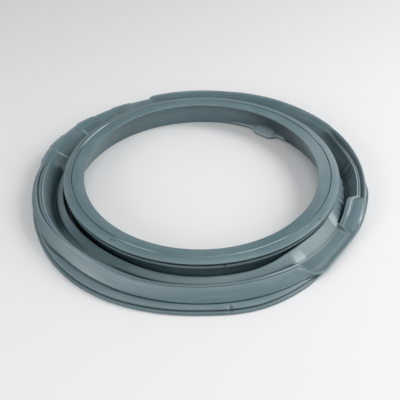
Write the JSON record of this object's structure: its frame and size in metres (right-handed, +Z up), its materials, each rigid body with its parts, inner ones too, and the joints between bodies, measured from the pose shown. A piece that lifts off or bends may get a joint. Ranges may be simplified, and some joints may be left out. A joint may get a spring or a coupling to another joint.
{
  "type": "washing machine door seal",
  "caption": "Round folded rubber seal that closes the gap between the door and the tub of a front-loading washing machine, with a small drain spout.",
  "frame": {"origin": "centre of the ring in the flat base plane that the seal rests on", "axes": "+Z up through the mouth, from the base to the head of the seal; -Y to the side the picture is taken from"},
  "size_m": [0.4, 0.4, 0.0357],
  "materials": {
    "rubber": "satin moulded grey rubber"
  },
  "bodies": {
    "root": {"door_seal": "rubber"}
  },
  "joints": []
}
